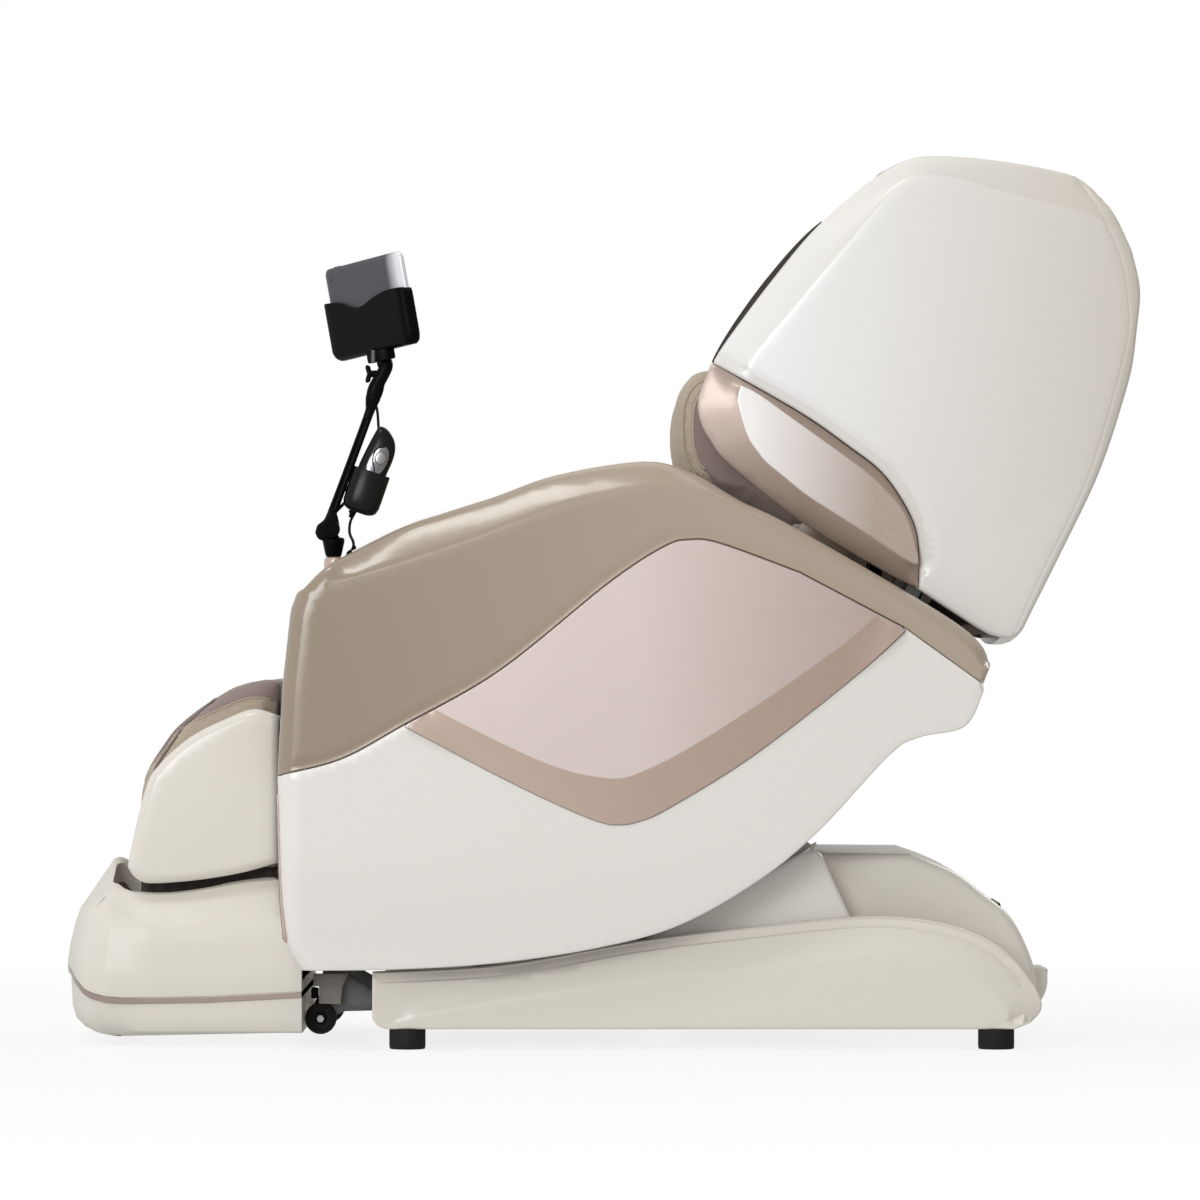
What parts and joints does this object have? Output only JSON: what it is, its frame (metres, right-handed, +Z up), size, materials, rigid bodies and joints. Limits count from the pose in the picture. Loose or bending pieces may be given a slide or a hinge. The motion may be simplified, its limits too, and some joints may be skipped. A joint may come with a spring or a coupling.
{
  "type": "massage chair",
  "caption": "Reclining massage chair with a head hood, padded arms, lifting leg rest with calf and foot wells, and a tablet and handset holder on the left armrest.",
  "frame": {"origin": "on the floor, under the middle of the chair's box", "axes": "+Z up, the chair faces -X, +Y towards the sitter's right"},
  "size_m": [1.5026, 0.82, 1.232],
  "materials": {
    "white_shell": "smooth semi-gloss",
    "cream_shell": "smooth semi-gloss",
    "taupe_shell": "satin",
    "rose_panel": "pearl satin",
    "rose_gold": "metallic satin",
    "mauve_leather": "soft grained",
    "tan_leather": "soft grained",
    "brown_leather": "soft grained",
    "black_plastic": "fine matt",
    "grey_plastic": "fine matt",
    "silver_plastic": "metallic paint",
    "steel": "painted",
    "rubber": "matt",
    "switch_red": "gloss"
  },
  "bodies": {
    "base": {"base_frame": "steel", "base_rail_left": "cream_shell", "base_rail_right": "cream_shell", "rear_cover": "cream_shell", "foot_front_left": "rubber", "foot_front_right": "rubber", "foot_rear_left": "rubber", "foot_rear_right": "rubber", "caster_bracket": "grey_plastic", "power_inlet": "black_plastic"},
    "caster_left": {"caster_wheel_left": "rubber"},
    "caster_right": {"caster_wheel_right": "rubber"},
    "power_switch": {"power_switch": "switch_red"},
    "carriage": {"slide_carriage": "steel"},
    "seat": {"seat_frame": "steel", "seat_cushion": "mauve_leather", "side_panel_left": "white_shell", "side_panel_right": "white_shell", "rose_panel_left": "rose_panel", "rose_panel_right": "rose_panel", "arm_cover_left": "taupe_shell", "arm_cover_right": "taupe_shell", "front_vent_left": "rose_gold", "front_vent_right": "rose_gold", "arm_pad_left": "tan_leather", "arm_pad_right": "tan_leather", "hip_pad_left": "mauve_leather", "hip_pad_right": "mauve_leather", "holder_socket": "black_plastic"},
    "backrest": {"hood_side_left": "white_shell", "hood_side_right": "white_shell", "hood_rear": "white_shell", "hood_liner": "black_plastic", "wing_trim_left": "rose_gold", "wing_trim_right": "rose_gold", "back_pad": "mauve_leather", "head_pillow": "mauve_leather", "shoulder_bolster_left": "mauve_leather", "shoulder_bolster_right": "mauve_leather", "back_frame": "steel", "back_skirt": "brown_leather"},
    "massage_head": {"massage_carriage": "grey_plastic"},
    "rollers": {"roller_frame": "black_plastic"},
    "legrest": {"legrest_frame": "steel", "calf_shell_left": "white_shell", "calf_shell_right": "white_shell", "calf_pad": "brown_leather"},
    "foot_section": {"foot_shell": "white_shell", "foot_strip": "rose_gold", "sole_pad_left": "brown_leather", "sole_pad_right": "brown_leather"},
    "holder": {"holder_arm": "black_plastic", "handset_cup": "black_plastic", "tablet_lead": "rubber"},
    "elbow_knob": {"elbow_knob": "black_plastic"},
    "wing_knob": {"wing_knob": "black_plastic"},
    "tablet_head": {"tablet_cradle": "black_plastic"},
    "tablet": {"tablet": "grey_plastic"},
    "handset": {"handset": "black_plastic"},
    "handset_button": {"handset_button": "silver_plastic"}
  },
  "joints": [
    {"name": "caster_left_spin", "type": "hinge", "parent": "base", "child": "caster_left", "pos_m": [-0.3838, -0.17, 0.035], "axis": [0, 1, 0], "continuous": true},
    {"name": "caster_right_spin", "type": "hinge", "parent": "base", "child": "caster_right", "pos_m": [-0.3838, 0.17, 0.035], "axis": [0, 1, 0], "continuous": true},
    {"name": "power_switch_rock", "type": "hinge", "parent": "base", "child": "power_switch", "pos_m": [0.6252, -0.124, 0.094], "axis": [0, 1, 0], "range_deg": [-12, 0]},
    {"name": "seat_slide", "type": "slide", "parent": "base", "child": "carriage", "axis": [-1, 0, 0], "range_m": [0, 0.12]},
    {"name": "seat_tilt", "type": "hinge", "parent": "carriage", "child": "seat", "pos_m": [0.0922, 0, 0.19], "axis": [0, 1, 0], "range_deg": [0, 10]},
    {"name": "back_recline", "type": "hinge", "parent": "seat", "child": "backrest", "pos_m": [0.3172, 0, 0.43], "axis": [0, 1, 0], "range_deg": [0, 40]},
    {"name": "massage_travel", "type": "slide", "parent": "backrest", "child": "massage_head", "axis": [0.4478, 0, 0.8942], "range_m": [-0.08, 0.36]},
    {"name": "roller_rock", "type": "hinge", "parent": "massage_head", "child": "rollers", "pos_m": [0.40364, 0, 0.63835], "axis": [0, 1, 0], "range_deg": [-4, 4]},
    {"name": "legrest_lift", "type": "hinge", "parent": "seat", "child": "legrest", "pos_m": [-0.4198, 0, 0.48], "axis": [0, 1, 0], "range_deg": [0, 75]},
    {"name": "foot_extend", "type": "slide", "parent": "legrest", "child": "foot_section", "axis": [0, 0, -1], "range_m": [0, 0.1]},
    {"name": "holder_tilt", "type": "hinge", "parent": "seat", "child": "holder", "pos_m": [-0.3638, -0.322, 0.716], "axis": [0, 1, 0], "range_deg": [-20, 15]},
    {"name": "elbow_knob_turn", "type": "hinge", "parent": "holder", "child": "elbow_knob", "pos_m": [-0.3638, -0.339, 0.716], "axis": [0, 1, 0], "continuous": true},
    {"name": "wing_knob_turn", "type": "hinge", "parent": "holder", "child": "wing_knob", "pos_m": [-0.3078, -0.322, 0.93], "axis": [1, 0, 0], "continuous": true},
    {"name": "tablet_tilt", "type": "hinge", "parent": "holder", "child": "tablet_head", "pos_m": [-0.2928, -0.322, 0.946], "axis": [0, 1, 0], "range_deg": [-18, 18]},
    {"name": "tablet_lift", "type": "slide", "parent": "tablet_head", "child": "tablet", "axis": [-0.1734, 0.0032, 0.9848], "range_m": [0, 0.09]},
    {"name": "handset_lift", "type": "slide", "parent": "holder", "child": "handset", "axis": [0.3256, 0, 0.9455], "range_m": [0, 0.065]},
    {"name": "handset_button_press", "type": "slide", "parent": "handset", "child": "handset_button", "axis": [0, 1, 0], "range_m": [0, 0.0012], "stiffness_N_per_m": 600}
  ],
  "couplings": [
    {"joint": "foot_extend", "follows": "legrest_lift", "m_per_rad": 0.07639}
  ]
}
